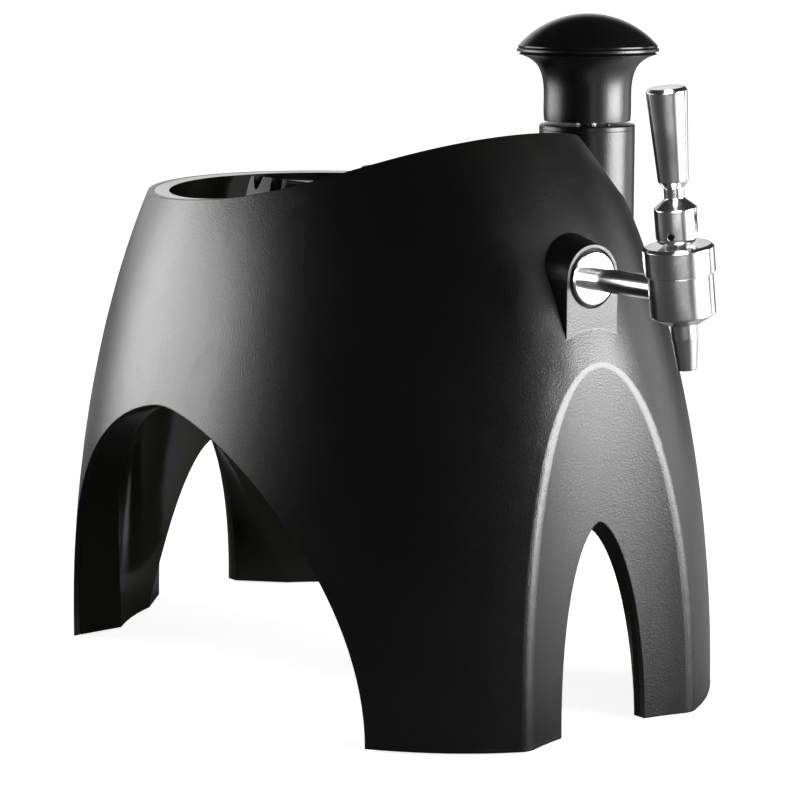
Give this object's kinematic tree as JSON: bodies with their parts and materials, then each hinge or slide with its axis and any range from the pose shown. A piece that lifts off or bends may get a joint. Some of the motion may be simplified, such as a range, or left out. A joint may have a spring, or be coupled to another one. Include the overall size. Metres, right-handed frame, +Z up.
{
  "type": "mini keg beer dispenser",
  "caption": "Domed arch-legged housing that stands over a mini keg, with a lever beer tap in front and a hand air pump beside it.",
  "frame": {"origin": "centre of the part's footprint on the table, from the tap's front to the back legs", "axes": "+Z up, -Y is the front with the tap, +X is the side with the pump"},
  "size_m": [0.2736, 0.4256, 0.337],
  "materials": {
    "abs": "satin, finely textured black",
    "liner": "polished black",
    "pump_plastic": "satin, finely textured black",
    "knob_gloss": "smooth black",
    "inner_plastic": "dark grey moulding",
    "rubber": "matt",
    "polished_steel": "polished",
    "steel": "turned",
    "hose": "soft clear hose"
  },
  "bodies": {
    "housing": {"housing_shell": "abs", "keg_liner": "liner", "foot_pads": "rubber", "leg_screws": "steel", "base_screws": "steel", "bridge_screws": "steel", "carrier_bridge": "inner_plastic", "coupler_body": "inner_plastic", "coupler_nut": "inner_plastic", "bung_seal": "rubber", "dip_tube": "steel", "beer_hose": "hose", "air_hose": "hose", "hose_barbs": "steel", "hose_clips": "steel", "pump_barrel": "pump_plastic", "barrel_gland": "knob_gloss", "pump_base": "inner_plastic", "check_valve": "rubber", "shank": "polished_steel", "shank_flange": "polished_steel", "flange_gasket": "rubber", "back_nut": "steel", "tap_body": "polished_steel", "tap_bonnet": "polished_steel", "bonnet_seal": "rubber", "stem_seal": "rubber", "spout": "polished_steel", "valve_spring": "steel"},
    "pump_plunger": {"knob_skirt": "pump_plastic", "knob_band": "knob_gloss", "knob_cap": "knob_gloss", "pump_rod": "steel", "piston_head": "inner_plastic", "piston_cup": "rubber", "rod_nut": "steel"},
    "tap_stem": {"valve_stem": "steel", "seat_seal": "rubber"},
    "tap_lever": {"lever_barrel": "polished_steel", "lever_grip": "polished_steel", "pivot_pin": "steel"}
  },
  "joints": [
    {"name": "pump_stroke", "type": "slide", "parent": "housing", "child": "pump_plunger", "axis": [0, 0, 1], "range_m": [0, 0.052]},
    {"name": "stem_lift", "type": "slide", "parent": "housing", "child": "tap_stem", "axis": [-0.1219, 0, 0.9925], "range_m": [0, 0.0026], "stiffness_N_per_m": 150, "springref_m": -0.003, "deforming": ["valve_spring"]},
    {"name": "lever_pull", "type": "hinge", "parent": "tap_stem", "child": "tap_lever", "pos_m": [-0.00329, -0.19658, 0.2434], "axis": [0.8596, 0.5, 0.1055], "range_deg": [0, 30]}
  ],
  "couplings": [
    {"joint": "stem_lift", "follows": "lever_pull", "m_per_rad": 0.0049655}
  ]
}
